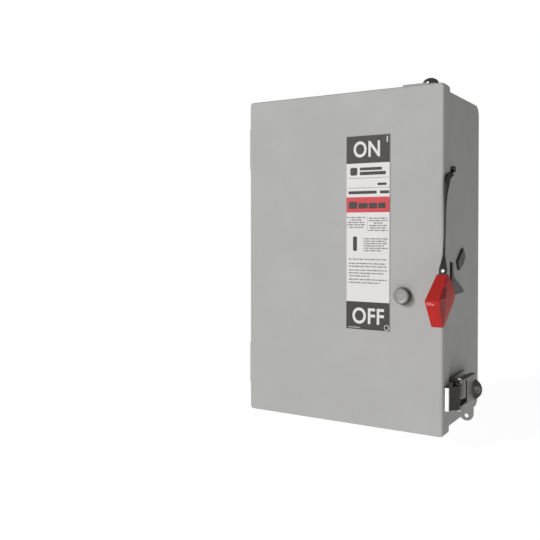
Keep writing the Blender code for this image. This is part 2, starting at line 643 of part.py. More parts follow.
def pole(place, x):
    """One pole: line terminal and jaw, blade hinge and upper fuse clip, lower clip and lug, and the fuse."""

    def strap(low, high):
        return box((x - 9 * MM, x + 9 * MM), (BASE_FRONT_Y - 4 * MM, BASE_FRONT_Y - GAP), (low, high))

    solid, hollow = lug(x, (130 * MM, 156 * MM))
    solid += leaves(x, (-74 * MM, -28 * MM), (104 * MM, 124 * MM))
    piece(f"line_terminal_{place}", "copper", strap(102 * MM, 158 * MM), solid, hollow)

    solid = leaves(x, (-72 * MM, -28 * MM), (CONTACT_Z - 8 * MM, CONTACT_Z + 8 * MM))
    solid += fuse_clip(x, (24 * MM, 42 * MM))
    solid.append(disc((CONTACT_Y, CONTACT_Z), "X", 3 * MM, x - 4.2 * MM, x + 4.2 * MM, 16))
    piece(f"upper_fuse_clip_{place}", "copper", strap(24 * MM, 82 * MM), solid)

    solid, hollow = lug(x, (-122 * MM, -96 * MM))
    solid += fuse_clip(x, (-84 * MM, -66 * MM))
    piece(f"lower_fuse_clip_{place}", "copper", strap(-124 * MM, -66 * MM), solid, hollow)

    cap, tube = 13.2, 12.2
    upper = [(0, 44), (cap, 44), (cap, 22), (tube, 22)]
    lower = [(tube, -64), (cap, -64), (cap, -86), (0, -86)]
    turned(f"fuse_{place}", "fuse_paper", (x, -45.5 * MM), upper + lower)


def contacts():
    """The blades, the insulating bar that joins them, its end arms, and the crank that turns them all."""
    turning = pivot("contact_axis", 0, CONTACT_Y, CONTACT_Z)
    axis = (CONTACT_Y, CONTACT_Z)
    slots = []
    for place, x in POLES.items():
        half = BLADE_HALF_THICKNESS
        outline = bar_outline(axis, BLADE_ANGLE, (0, 52 * MM), 7 * MM)
        root = disc(axis, "X", 7.6 * MM, x - half, x + half, 20)
        hole = disc(axis, "X", 3 * MM + GAP, x - 9 * MM, x + 9 * MM, 16)
        blade = prism(outline, "X", x - half, x + half)
        piece(f"knife_blade_{place}", "copper", blade, joined=[root], cut=[hole], parent=turning)
        wide = bar_outline(axis, BLADE_ANGLE, (10 * MM, 32 * MM), 7 * MM + GAP)
        slots.append(prism(wide, "X", x - half - GAP, x + half + GAP))
    bar = prism(bar_outline(axis, BLADE_ANGLE, (16 * MM, 26 * MM), 12 * MM), "X", -89.2 * MM, 61.2 * MM)
    piece("crossbar", "moulded_base", bar, cut=slots, parent=turning)

    plate = bar_outline(axis, BLADE_ANGLE, (-8 * MM, 27 * MM), 8 * MM)
    left = prism(plate, "X", -92.5 * MM, -89.5 * MM)
    left_journal = disc(axis, "X", 5 * MM, -97.3 * MM, -91 * MM, 20)
    piece("crossbar_end_left", "zinc_steel", left, joined=[left_journal], parent=turning)
    right = prism(plate, "X", 61.5 * MM, 64.5 * MM)
    right_journal = disc(axis, "X", 5 * MM, 63 * MM, 73.7 * MM, 20)
    piece("crossbar_end_right", "zinc_steel", right, joined=[right_journal], parent=turning)

    outline = bar_outline(axis, CRANK_ANGLE, (0, CRANK_LENGTH), 7 * MM, True)
    crank = prism(outline, "X", 74 * MM, 78 * MM)
    pin_at = along(axis, CRANK_ANGLE, CRANK_LENGTH, 0)
    crank_pin = disc(pin_at, "X", 3 * MM, 76 * MM, 82.3 * MM, 16)
    piece("contact_crank", "zinc_steel", crank, joined=[crank_pin], parent=turning)


def line_shield():
    """The clear guard in front of the line terminals, which lifts on two pins."""
    turning = pivot("shield_axis", 0, SHIELD_Y, SHIELD_Z)
    zs = (113 * MM, SHIELD_Z + 2 * MM)
    sheet = box((-91 * MM, 63 * MM), (SHIELD_Y - MM, SHIELD_Y + MM), zs)
    barrel = disc((SHIELD_Y, SHIELD_Z), "X", 3.4 * MM, -92 * MM, 64 * MM, 16)
    pins = disc((SHIELD_Y, SHIELD_Z), "X", 2 * MM, -97.5 * MM, 69.5 * MM, 16)
    piece("line_shield", "clear_shield", sheet, joined=[barrel, pins], parent=turning)


def ground_bar():
    xs, ys, zs = (-118 * MM, -48 * MM), (-16 * MM, -8 * MM), (-192 * MM, -180 * MM)
    flange = -2 * (SHEET + GAP)
    feet = [box(pair, (-9 * MM, flange), zs) for pair in ((xs[0], -108 * MM), (-58 * MM, xs[1]))]
    holes, screws = [], []
    for i in range(4):
        x = -98 * MM + 10 * MM * i
        holes.append(disc((x, -12 * MM), "Z", 2.4 * MM, -200 * MM, -170 * MM, 12))
        screws.append(disc((-186 * MM, x), "Y", 3 * MM, -19 * MM, -15 * MM, 12))
    piece("ground_bar", "copper", box(xs, ys, zs), joined=feet + screws, cut=holes)


# The latch and the padlock tabs on the right wall


def level(way, span):
    """The two heights of a span measured from the latch's middle, up (1) or down (-1)."""
    return sorted((LATCH_Z + way * span[0], LATCH_Z + way * span[1]))


def latch():
    wall = BOX_HALF_WIDTH + GAP
    half = 19 * MM
    pin_radius, hole_radius = 2 * MM, 2 * MM + GAP
    plate = box((wall, wall + SHEET), (-142 * MM, -73 * MM), (LATCH_Z - half, LATCH_Z + half))
    ears, holes = [], []
    for way in (-1, 1):
        ears.append(box((wall, 150 * MM), (-141 * MM, -129 * MM), level(way, LATCH_EAR)))
        holes.append(disc((LEVER_X, LEVER_Y), "Z", hole_radius, *level(way, (16 * MM, 22 * MM)), 16))
    piece("latch_base", "black_steel", plate, joined=ears, cut=holes)

    for place, way in (("lower", -1), ("upper", 1)):
        stub = disc((LEVER_X, LEVER_Y), "Z", pin_radius, *level(way, (14.1 * MM, 19.5 * MM)), 16)
        head = disc((LEVER_X, LEVER_Y), "Z", 3.2 * MM, *level(way, RIVET_HEAD), 16)
        piece(f"latch_rivet_{place}", "zinc_steel", stub, joined=[head])

    lever = pivot("lever_axis", LEVER_X, LEVER_Y, LATCH_Z)
    half = 15 * MM
    web = box((148 * MM, 150 * MM), (-109 * MM, -71 * MM), (LATCH_Z - half, LATCH_Z + half))
    side = [(140.5, -139), (150, -139), (150, -71), (144, -71), (140.5, -90)]
    sides, holes = [], []
    for way in (-1, 1):
        sides.append(prism([(x * MM, y * MM) for x, y in side], "Z", *level(way, LEVER_SIDE)))
        for at in ((LEVER_X, LEVER_Y), (LINK_X, LINK_Y)):
            holes.append(disc(at, "Z", hole_radius, *level(way, (12 * MM, 18 * MM)), 16))
    tab_z, tab_radius = LATCH_Z - 5 * MM, 14 * MM
    tab = arc((tab_z, 145 * MM), tab_radius, 0, 180, 14)
    tab += [(tab_z - tab_radius, 143 * MM), (tab_z + tab_radius, 143 * MM)]
    sides.append(prism(tab, "Y", -73 * MM, -70.8 * MM))
    holes.append(disc((tab_z, 152.5 * MM), "Y", 3.5 * MM, -80 * MM, -60 * MM, 16))
    piece("latch_lever", "black_steel", web, joined=sides, cut=holes, parent=lever)

    # The link's front is a raised plate across its full height. Behind it run two arms, each with a pin.
    link = pivot("latch_link_axis", LINK_X, LINK_Y, LATCH_Z, lever)
    outer = [(145.2, -167.3), (153, -149.5), (152, -145.5), (144.3, -141), (144.3, -139)]
    inner = [(141.7, -139), (141.7, -142.6), (149.2, -147), (149.8, -149), (142.9, -166), (142.9, -167.3)]
    full = (LATCH_Z - LINK_HALF, LATCH_Z + LINK_HALF)
    front = prism([(x * MM, y * MM) for x, y in outer + inner], "Z", *full)
    parts = []
    for way in (-1, 1):
        arm = level(way, (LINK_ARM_HALF, LINK_HALF))
        parts.append(box((141.7 * MM, 144.3 * MM), (-140 * MM, -112.5 * MM), arm))
        parts.append(disc((LINK_X, LINK_Y), "Z", pin_radius, *level(way, (12 * MM, 16.1 * MM)), 16))
    piece("latch_link", "black_steel", front, joined=parts, parent=link)

    hook = box((140.9 * MM, 145.2 * MM), (-170.2 * MM, -167.6 * MM), full)
    piece("latch_hook", "zinc_steel", hook, parent=link)


def padlock_tabs():
    """Two lugs on the wall behind the grip, for a padlock that holds the handle down."""
    wall = BOX_HALF_WIDTH + GAP
    upper = [(-106, -4), (-82, 13), (-73, 2), (-82, -8), (-100, -15)]
    lower = [(-131, -4), (-126, -4), (-123, -22), (-78, -43), (-86, -45), (-115, -45), (-129, -50)]
    for name, outline in (("upper", upper), ("lower", lower)):
        lug = prism([(y * MM, z * MM) for y, z in outline], "X", wall, wall + 2.5 * MM)
        piece(f"padlock_tab_{name}", "black_steel", lug)


def main():
    clear_scene()
    enclosure()
    back_panel()
    top_hub()
    door = pivot("door_axis", HINGE_X, HINGE_Y, 0)
    door_pan(door)
    gasket(door)
    label(door)
    push_button(door)
    keeper(door)
    hinges(door)
    handle()
    drive_link()
    shaft_support()
    switch_base()
    for place, x in POLES.items():
        pole(place, x)
    contacts()
    line_shield()
    ground_bar()
    latch()
    padlock_tabs()


main()
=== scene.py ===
import json
import math

import bmesh
import bpy
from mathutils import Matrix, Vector

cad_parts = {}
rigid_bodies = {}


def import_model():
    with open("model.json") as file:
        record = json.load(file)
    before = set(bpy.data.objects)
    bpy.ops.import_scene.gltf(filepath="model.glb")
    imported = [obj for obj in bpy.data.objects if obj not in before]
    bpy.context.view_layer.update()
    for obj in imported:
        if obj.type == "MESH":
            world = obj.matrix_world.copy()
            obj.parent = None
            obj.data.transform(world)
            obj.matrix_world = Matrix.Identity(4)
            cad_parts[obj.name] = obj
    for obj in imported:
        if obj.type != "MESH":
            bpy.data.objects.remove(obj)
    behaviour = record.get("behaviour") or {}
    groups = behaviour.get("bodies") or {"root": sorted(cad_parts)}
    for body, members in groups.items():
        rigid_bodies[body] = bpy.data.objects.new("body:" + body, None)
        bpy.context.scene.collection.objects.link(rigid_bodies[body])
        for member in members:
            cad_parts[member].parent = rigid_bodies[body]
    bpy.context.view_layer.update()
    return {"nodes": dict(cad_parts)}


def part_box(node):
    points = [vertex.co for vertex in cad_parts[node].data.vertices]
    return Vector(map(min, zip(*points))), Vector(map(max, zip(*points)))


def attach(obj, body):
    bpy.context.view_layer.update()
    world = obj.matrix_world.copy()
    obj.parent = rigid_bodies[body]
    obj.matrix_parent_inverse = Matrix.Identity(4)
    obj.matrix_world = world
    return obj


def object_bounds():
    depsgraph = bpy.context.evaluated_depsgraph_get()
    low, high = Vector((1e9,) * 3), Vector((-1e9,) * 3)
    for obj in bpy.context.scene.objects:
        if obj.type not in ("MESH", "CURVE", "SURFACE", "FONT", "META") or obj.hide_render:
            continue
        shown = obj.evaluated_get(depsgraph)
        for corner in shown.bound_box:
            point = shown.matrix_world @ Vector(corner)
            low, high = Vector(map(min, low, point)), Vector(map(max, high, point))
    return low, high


MM = 0.001
WELD_DISTANCE = 0.01 * MM
CREASE = math.radians(28)
PIECE_CREASE = math.radians(32)
SHADING_WEIGHT = 80

for old in list(bpy.data.objects):
    bpy.data.objects.remove(old)

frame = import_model()
nodes = frame["nodes"]


# ---------------------------------------------------------------- materials

def finish_material(name, base, rough, metallic=0.0, patch=0.06, patch_size=25.0, grain=0.04,
                    grain_size=1.2, bump=0.05, bump_size=1.2, stretch=(1, 1, 1), edge=None,
                    rough_swing=0.08, dust=0.0, extra=None):
    """A node material: a base colour that varies in soft patches and in fine grain, a roughness
    that varies with it, an optional lighter band along edges that is partly edge wear and partly
    painted highlight, and a fine surface relief.
    Sizes are in millimetres."""
    made = bpy.data.materials.new(name)
    made.use_nodes = True
    tree = made.node_tree
    new, link = tree.nodes.new, tree.links.new
    shader = tree.nodes["Principled BSDF"]
    shader.inputs["Metallic"].default_value = metallic
    where = new("ShaderNodeTexCoord")
    scaled = new("ShaderNodeMapping")
    scaled.inputs["Scale"].default_value = stretch
    link(where.outputs["Object"], scaled.inputs["Vector"])

    def noise(size, detail, roughness=0.55):
        made_noise = new("ShaderNodeTexNoise")
        made_noise.inputs["Scale"].default_value = 1 / (size * MM)
        made_noise.inputs["Detail"].default_value = detail
        made_noise.inputs["Roughness"].default_value = roughness
        link(scaled.outputs["Vector"], made_noise.inputs["Vector"])
        return made_noise.outputs["Fac"]

    def spread(value, low, high, out_low, out_high):
        mapped = new("ShaderNodeMapRange")
        for socket, number in zip(("From Min", "From Max", "To Min", "To Max"),
                                  (low, high, out_low, out_high)):
            mapped.inputs[socket].default_value = number
        link(value, mapped.inputs["Value"])
        return mapped.outputs["Result"]

    def tint(colour, share):
        return tuple(min(1.0, c * share) for c in colour[:3]) + (1.0,)

    patches = noise(patch_size, 3)
    grains = noise(grain_size, 2)
    ramp = new("ShaderNodeMix")
    ramp.data_type = "RGBA"
    ramp.inputs["A"].default_value = tint(base, 1 - patch)
    ramp.inputs["B"].default_value = tint(base, 1 + patch)
    link(spread(patches, 0.35, 0.65, 0, 1), ramp.inputs["Factor"])
    speck = new("ShaderNodeMix")
    speck.data_type = "RGBA"
    speck.blend_type = "MULTIPLY"
    speck.inputs["Factor"].default_value = 1.0
    link(ramp.outputs["Result"], speck.inputs["A"])
    grey = new("ShaderNodeCombineColor")
    level = spread(grains, 0.3, 0.7, 1 - grain, 1 + grain)
    for socket in ("Red", "Green", "Blue"):
        link(level, grey.inputs[socket])
    link(grey.outputs["Color"], speck.inputs["B"])
    colour = speck.outputs["Result"]
    if dust:
        settled = new("ShaderNodeMix")
        settled.data_type = "RGBA"
        settled.inputs["B"].default_value = (0.42, 0.40, 0.37, 1)
        link(colour, settled.inputs["A"])
        link(spread(noise(60, 5, 0.65), 0.5, 0.8, 0, dust), settled.inputs["Factor"])
        colour = settled.outputs["Result"]
    # The lighter edge band is partly edge wear and partly painted highlight: every edge is
    # lightened as if it caught the light.
    if edge:
        softened = new("ShaderNodeBevel")
        softened.samples = 4
        softened.inputs["Radius"].default_value = 0.7 * MM
        shape = new("ShaderNodeNewGeometry")
        facing = new("ShaderNodeVectorMath")
        facing.operation = "DOT_PRODUCT"
        link(softened.outputs["Normal"], facing.inputs[0])
        link(shape.outputs["Normal"], facing.inputs[1])
        edge_wear_and_glint = new("ShaderNodeMix")
        edge_wear_and_glint.data_type = "RGBA"
        edge_wear_and_glint.inputs["B"].default_value = tuple(edge) + (1.0,)
        edge_wear_and_glint_mask = new("ShaderNodeMath")
        edge_wear_and_glint_mask.operation = "MULTIPLY"
        link(spread(facing.outputs["Value"], 0.9, 0.995, 0.75, 0.0), edge_wear_and_glint_mask.inputs[0])
        link(spread(noise(5, 4, 0.7), 0.4, 0.6, 0.25, 1.0), edge_wear_and_glint_mask.inputs[1])
        link(colour, edge_wear_and_glint.inputs["A"])
        link(edge_wear_and_glint_mask.outputs["Value"], edge_wear_and_glint.inputs["Factor"])
        colour = edge_wear_and_glint.outputs["Result"]
    link(colour, shader.inputs["Base Color"])
    link(spread(noise(patch_size * 0.4, 4), 0.3, 0.7, rough - rough_swing, rough + rough_swing),
         shader.inputs["Roughness"])
    relief = new("ShaderNodeBump")
    relief.inputs["Strength"].default_value = bump
    relief.inputs["Distance"].default_value = 0.2 * MM
    link(noise(bump_size, 3), relief.inputs["Height"])
    link(relief.outputs["Normal"], shader.inputs["Normal"])
    if extra:
        for socket, number in extra.items():
            shader.inputs[socket].default_value = number
    return made


paint = finish_material("grey_paint", (0.343, 0.341, 0.333), 0.56, patch=0.025, patch_size=70,
                        grain=0.02, bump=0.22, bump_size=1.6, dust=0.03,
                        edge=(0.50, 0.50, 0.49), extra={"Specular IOR Level": 0.13})
black = finish_material("black_steel", (0.010, 0.0096, 0.0092), 0.46, metallic=0.0, patch=0.25,
                        grain=0.12, bump=0.16, bump_size=0.9, edge=(0.05, 0.048, 0.046), dust=0.02,
                        extra={"Specular IOR Level": 0.18})
zinc = finish_material("zinc_steel", (0.70, 0.70, 0.69), 0.27, metallic=1.0, patch=0.10,
                       patch_size=6, grain=0.06, bump=0.06, bump_size=0.8, stretch=(1, 1, 0.25))
tin = finish_material("tinned_copper", (0.74, 0.71, 0.66), 0.33, metallic=1.0, patch=0.09,
                      patch_size=9, grain=0.05, bump=0.06, stretch=(1, 1, 0.3))
red = finish_material("red_plastic", (0.385, 0.022, 0.019), 0.48, patch=0.07, patch_size=12,
                      grain=0.04, bump=0.10, bump_size=0.7, edge=(0.50, 0.07, 0.065),
                      extra={"Specular IOR Level": 0.07})
button_side = finish_material("button_plastic", (0.13, 0.12, 0.11), 0.45, patch=0.08,
                              patch_size=6, grain=0.05, bump=0.1, bump_size=0.6)
button_top = finish_material("button_face", (0.235, 0.235, 0.23), 0.38, patch=0.04, patch_size=6,
                             grain=0.03, bump=0.08, bump_size=0.5)
white = finish_material("label_white", (0.585, 0.575, 0.57), 0.45, patch=0.015, patch_size=30,
                        grain=0.012, bump=0.03, bump_size=0.6,
                        extra={"Specular IOR Level": 0.25})
ink = finish_material("label_ink", (0.050, 0.047, 0.046), 0.5, patch=0.06, patch_size=15,
                      grain=0.05, bump=0.03, bump_size=0.6, extra={"Specular IOR Level": 0.2})
red_ink = finish_material("label_red", (0.49, 0.056, 0.068), 0.5, patch=0.04, patch_size=15,
                          grain=0.03, bump=0.03, bump_size=0.6, extra={"Specular IOR Level": 0.2})
grey_ink = finish_material("label_grey", (0.33, 0.32, 0.31), 0.45, patch=0.05, patch_size=8,
                           grain=0.05, bump=0.03, bump_size=0.6)
small_ink = finish_material("label_small_ink", (0.17, 0.162, 0.155), 0.45, patch=0.1,
                            patch_size=4, grain=0.08, bump=0.03, bump_size=0.6)
foam = finish_material("foam_rubber", (0.028, 0.028, 0.029), 0.85, patch=0.12, patch_size=8,
                       grain=0.25, grain_size=0.9, bump=0.6, bump_size=0.9)
moulded = finish_material("moulded_base", (0.035, 0.030, 0.028), 0.42, patch=0.12, patch_size=20,
                          grain=0.12, bump=0.14, bump_size=0.9, edge=(0.09, 0.085, 0.08))
clear = finish_material("clear_shield", (0.86, 0.89, 0.90), 0.12, patch=0.02, patch_size=25,
                        grain=0.01, bump=0.02, rough_swing=0.04,
                        extra={"Transmission Weight": 0.92, "IOR": 1.49})
tube = finish_material("fuse_tube", (0.50, 0.40, 0.27), 0.55, patch=0.10, patch_size=7,
                       grain=0.10, grain_size=0.7, bump=0.25, bump_size=0.8, stretch=(1, 1, 4))
brass = finish_material("brass", (0.72, 0.52, 0.24), 0.28, metallic=1.0, patch=0.08,
                        patch_size=5, grain=0.05, bump=0.06)
rib = finish_material("worn_steel", (0.115, 0.105, 0.095), 0.42, metallic=0.3, patch=0.15,
                      patch_size=5, grain=0.1, bump=0.15, edge=(0.3, 0.29, 0.27))
latch_black = finish_material("latch_black", (0.030, 0.028, 0.026), 0.46, patch=0.2, patch_size=6,
                              grain=0.1, bump=0.16, edge=(0.14, 0.135, 0.13),
                              extra={"Specular IOR Level": 0.25})
# Darker red for the grip's side pads: painted shade, standing in for the shade on the front facets
# of the grip's right face.
painted_shade_red = finish_material("grip_painted_shade_red", (0.205, 0.014, 0.013), 0.5, patch=0.06, patch_size=8,
                          grain=0.10, grain_size=0.8, bump=0.5, bump_size=0.7,
                          extra={"Specular IOR Level": 0.12})
pink = finish_material("grip_mark_pink", (0.56, 0.15, 0.16), 0.45, patch=0.05, patch_size=4,
                       grain=0.05, bump=0.05)
dark_plate = finish_material("dark_plated", (0.36, 0.35, 0.345), 0.14, metallic=1.0, patch=0.1,
                             patch_size=4, grain=0.05, bump=0.04, rough_swing=0.05)
# Near-white, mostly non-metallic zinc for the washer, latch hook and arm rivet: partly the
# plating's own light colour, partly painted highlight for the glints these parts show.
bright = finish_material("zinc_with_painted_glint", (0.92, 0.92, 0.91), 0.30, metallic=0.25, patch=0.06,
                         patch_size=3, grain=0.04, bump=0.05)

# A node listed here takes its own finish; every other node takes the one of its CAD material.
NODE_MATERIALS = {"hub_cap": dark_plate, "handle_washer": bright, "handle_bolt": dark_plate,
                  "latch_hook": bright, "arm_rivet": bright, "latch_base": rib,
                  "latch_lever": rib, "latch_link": latch_black, "button_bezel": rib,
                  "padlock_tab_upper": latch_black, "padlock_tab_lower": latch_black}

SLOT_MATERIALS = {
    "grey_paint": paint, "black_steel": black, "zinc_steel": zinc, "tinned_copper": tin,
    "red_plastic": red, "button_plastic": button_side, "label_white": white,
    "foam_rubber": foam, "moulded_base": moulded, "clear_shield": clear, "fuse_tube": tube,
    "brass": brass,
}


# ---------------------------------------------------------------- CAD nodes

def dress_node(node, material):
    """Gives a CAD node its material and rounds only its shading, never its shape."""
    mesh = node.data
    mesh.materials.clear()
    mesh.materials.append(material)
    if "custom_normal" in mesh.attributes:
        mesh.attributes.remove(mesh.attributes["custom_normal"])
    mesh.polygons.foreach_set("use_smooth", [True] * len(mesh.polygons))
    weld = node.modifiers.new("join", "WELD")
    weld.merge_threshold = WELD_DISTANCE
    split = node.modifiers.new("creases", "EDGE_SPLIT")
    split.split_angle = CREASE
    even = node.modifiers.new("flats", "WEIGHTED_NORMAL")
    even.mode = "FACE_AREA"
    even.weight = SHADING_WEIGHT
    even.keep_sharp = True


for name, node in nodes.items():
    first = node.data.materials[0].name.split(".")[0] if node.data.materials else "grey_paint"
    dress_node(node, NODE_MATERIALS.get(name) or SLOT_MATERIALS.get(first, paint))


# ---------------------------------------------------------------- making pieces

def piece(name, build, material, body):
    """A mesh piece from a function that fills a bmesh; it rides on a CAD body."""
    work = bmesh.new()
    build(work)
    bmesh.ops.recalc_face_normals(work, faces=work.faces)
    mesh = bpy.data.meshes.new(name)
    work.to_mesh(mesh)
    work.free()
    mesh.polygons.foreach_set("use_smooth", [True] * len(mesh.polygons))
    mesh.set_sharp_from_angle(angle=PIECE_CREASE)
    mesh.materials.append(material)
    made = bpy.data.objects.new(name, mesh)
    bpy.context.scene.collection.objects.link(made)
    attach(made, body)
    return made


def close_shell(work, low, high):
    """Caps two matching loops of vertices and joins them round the side."""
    work.faces.new(high)
    work.faces.new(low[::-1])
    for i in range(len(low)):
        j = (i + 1) % len(low)
        work.faces.new((low[i], low[j], high[j], high[i]))


def rounded_plate(work, left, right, low, high, radius, back, front, steps=5):
    """A thin plate in the door's plane, from Y = back to Y = front, with rounded corners."""
    radius = min(radius, (right - left) / 2 - 1e-6, (high - low) / 2 - 1e-6)
    outline = []
    for cx, cz, start in ((right - radius, high - radius, 0), (left + radius, high - radius, 90),
                          (left + radius, low + radius, 180), (right - radius, low + radius, 270)):
        for i in range(steps + 1):
            turn = math.radians(start + 90 * i / steps)
            outline.append((cx + radius * math.cos(turn), cz + radius * math.sin(turn)))
    near = [work.verts.new((x, front, z)) for x, z in outline]
    far = [work.verts.new((x, back, z)) for x, z in outline]
    close_shell(work, far, near)


def turned(work, centre, axis, profile, steps=32, closed=False):
    """A lathe shape: profile is (radius, distance along axis) pairs, from centre."""
    axis = Vector(axis).normalized()
    side = axis.orthogonal().normalized()
    other = axis.cross(side)
    centre = Vector(centre)
    rings = []
    for radius, along in profile:
        if radius < 1e-7:
            rings.append([work.verts.new(centre + axis * along)])
            continue
        rings.append([work.verts.new(centre + axis * along
                                     + side * (radius * math.cos(math.tau * i / steps))
                                     + other * (radius * math.sin(math.tau * i / steps)))
                      for i in range(steps)])
    pairs = list(zip(rings, rings[1:]))
    if closed:
        pairs.append((rings[-1], rings[0]))
    for a, b in pairs:
        for i in range(steps):
            j = (i + 1) % steps
            corners = [a[i % len(a)], a[j % len(a)], b[j % len(b)], b[i % len(b)]]
            unique = []
            for corner in corners:
                if corner not in unique:
                    unique.append(corner)
            if len(unique) > 2:
                work.faces.new(unique)


def rivet_head(work, centre, axis, radius, height):
    """A domed head that stands on a face, sunk a little into it."""
    sunk = -0.2 * MM
    dome = [(radius * math.cos(math.radians(a)), height * math.sin(math.radians(a)))
            for a in (0, 15, 32, 50, 70)]
    turned(work, centre, axis, [(0, sunk), (radius * 0.97, sunk)] + dome + [(0, height)], 24)


# ---------------------------------------------------------------- label printing

label_low, label_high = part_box("label_plate")
ink_back = label_low.y + 0.00003
ink_front = label_low.y - 0.00007
top_front = label_low.y - 0.00013

# In millimetres: the label, the height of its two black blocks, how far the print stays
# inside the edge, the thin border rule, and the lengths and gap of the small print's dashes.
LABEL_WIDTH = (label_high.x - label_low.x) / MM
LABEL_HEIGHT = (label_high.z - label_low.z) / MM
BLOCK = 35.2
INSET = 0.15
RULE = 0.28
WORDS = (3.4, 1.6, 4.6, 2.4, 5.2, 1.2, 3.8, 2.9, 6.0, 2.0)
WORD_GAP = 0.75


def on_label(work, left, right, top, bottom, radius=0.3, front=None):
    """A printed bar; millimetres from the label's left edge and from its top edge."""
    rounded_plate(work, label_low.x + left * MM, label_low.x + right * MM,
                  label_high.z - bottom * MM, label_high.z - top * MM, radius * MM,
                  ink_back, ink_front if front is None else front)


def small_line(work, left, right, middle, half, start):
    """One line of plain dashes, as unreadable small print looks."""
    at, turn = left, start
    while at < right - 0.5:
        end = min(right, at + WORDS[turn % len(WORDS)])
        on_label(work, at, end, middle - half, middle + half, half * 0.8)
        at, turn = end + WORD_GAP, turn + 1


def small_print(work):
    """Two columns of small print with a rule between, then the longer lines below."""
    for i, width in enumerate((26, 17, 23, 26, 20)):
        z = 104.4 + 3.15 * i
        small_line(work, 13.9 - width / 2, 13.9 + width / 2, z, 0.8, i)
    for i, width in enumerate((26, 27, 12, 25, 22, 27)):
        z = 105.6 + 3.06 * i
        small_line(work, 44.3 - width / 2, 44.3 + width / 2, z, 0.8, i + 4)
    on_label(work, 29.3, 29.7, 102.8, 122.2, 0.1)
    for i, end in enumerate((57.4, 55.0, 56.6, 52.5, 57.4, 49.0)):
        z = 131.7 + 3.0 * i
        small_line(work, 24.4, end, z, 0.8, 2 * i + 1)
    for i, (z, end) in enumerate(((158.0, 56.4), (163.5, 54.0), (167.2, 55.5), (172.0, 56.0),
                                  (175.8, 52.0), (179.5, 32.5), (184.0, 55.8), (188.0, 47.0))):
        small_line(work, 3.5, end, z, 0.78, 3 * i)


def black_print(work):
    """The two switch-position blocks, the heading bars and the symbols' plain stand-ins."""
    right = LABEL_WIDTH - INSET
    on_label(work, INSET, right, INSET, BLOCK, 0.4)
    on_label(work, INSET, right, LABEL_HEIGHT - BLOCK - 0.4, LABEL_HEIGHT - INSET, 0.4)
    on_label(work, 5.5, 15.5, 40.5, 50.5, 2.4)
    on_label(work, 19, 49.3, 40.7, 44.4, 0.8)
    on_label(work, 19, 54.5, 46.1, 50.4, 0.8)
    on_label(work, 2.6, 59.5, 53.9, 54.3, 0.1)
    on_label(work, 43.4, 55.6, 60.7, 63.8, 0.8)
    on_label(work, 2.6, 59.5, 66.4, 66.8, 0.1)
    on_label(work, 3.0, 42.3, 70.6, 74.4, 0.8)
    on_label(work, 46.6, 59.0, 70.6, 74.4, 0.8)
    on_label(work, 9.6, 15.2, 128.8, 147.4, 1.6)


def red_print(work):
    """The plain red band."""
    on_label(work, INSET, LABEL_WIDTH - INSET, 78.4, 98.0, 0.3)


def over_red_print(work):
    """Plain dark blocks on the red band."""
    on_label(work, 3.6, 15.5, 84.2, 93.2, 2.0, top_front)
    on_label(work, 17.2, 30.0, 86.0, 93.0, 1.0, top_front)
    on_label(work, 31.4, 43.0, 86.0, 93.0, 1.0, top_front)
    on_label(work, 44.4, 54.4, 86.0, 93.0, 1.0, top_front)


def grey_print(work):
    """A short bar near the label's foot, on the lower black block."""
    on_label(work, 3.0, 19.5, LABEL_HEIGHT - 2.9, LABEL_HEIGHT - 1.7, 0.4, top_front)


def white_marks(work):
    """The small I and O marks on the black blocks."""
    on_label(work, 55.8, 57.2, 2.6, 10.0, 0.2, top_front)
    centre = Vector((label_low.x + 56.0 * MM, ink_back, label_low.z + 4.4 * MM))
    depth = ink_back - top_front
    turned(work, centre, (0, -1, 0), [(2.75 * MM, 0), (3.5 * MM, 0), (3.5 * MM, depth),
                                      (2.75 * MM, depth)], 40, closed=True)


def border_print(work):
    """The thin dark rule round the label's edge."""
    right = LABEL_WIDTH - INSET
    on_label(work, INSET, INSET + RULE, BLOCK, LABEL_HEIGHT - BLOCK, 0.05)
    on_label(work, right - RULE, right, BLOCK, LABEL_HEIGHT - BLOCK, 0.05)


piece("label_print_black", black_print, ink, "door")
piece("label_print_small", small_print, small_ink, "door")
piece("label_print_red", red_print, red_ink, "door")
piece("label_print_on_red", over_red_print, ink, "door")
piece("label_print_grey", grey_print, grey_ink, "door")
piece("label_print_white", white_marks, white, "door")
piece("label_print_rules", border_print, grey_ink, "door")


def big_word(name, text, left, right, top, bottom):
    """Heavy generic switch lettering, raised like thick ink, fitted to a given box."""
    data = bpy.data.curves.new(name, "FONT")
    data.body = text
    data.size = 0.028
    data.offset = 0.00055
    data.extrude = 0.00003
    data.resolution_u = 6
    data.align_x = "CENTER"
    data.align_y = "CENTER"
    data.space_character = 1.06
    data.materials.append(white)
    made = bpy.data.objects.new(name, data)
    bpy.context.scene.collection.objects.link(made)
    made.rotation_euler = (math.radians(90), 0, 0)
    bpy.context.view_layer.update()
    corners = [Vector(c) for c in made.bound_box]
    wide = max(c.x for c in corners) - min(c.x for c in corners)
    tall = max(c.y for c in corners) - min(c.y for c in corners)
    scale_x = (right - left) * MM / wide
    scale_z = (bottom - top) * MM / tall
    made.scale = (scale_x, scale_z, 1)
    middle_x = sum(c.x for c in corners) / 8 * scale_x
    middle_z = sum(c.y for c in corners) / 8 * scale_z
    made.location = (label_low.x + (left + right) / 2 * MM - middle_x, ink_front - 0.00002,
                     label_high.z - (top + bottom) / 2 * MM - middle_z)
    bpy.context.view_layer.update()
    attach(made, "door")
    return made


big_word("label_word_on", "ON", 10.3, 46.6, 7.1, 27.7)
big_word("label_word_off", "OFF", 9.0, 52.6, LABEL_HEIGHT - 28.0, LABEL_HEIGHT - 7.2)


# ---------------------------------------------------------------- button and top bolt

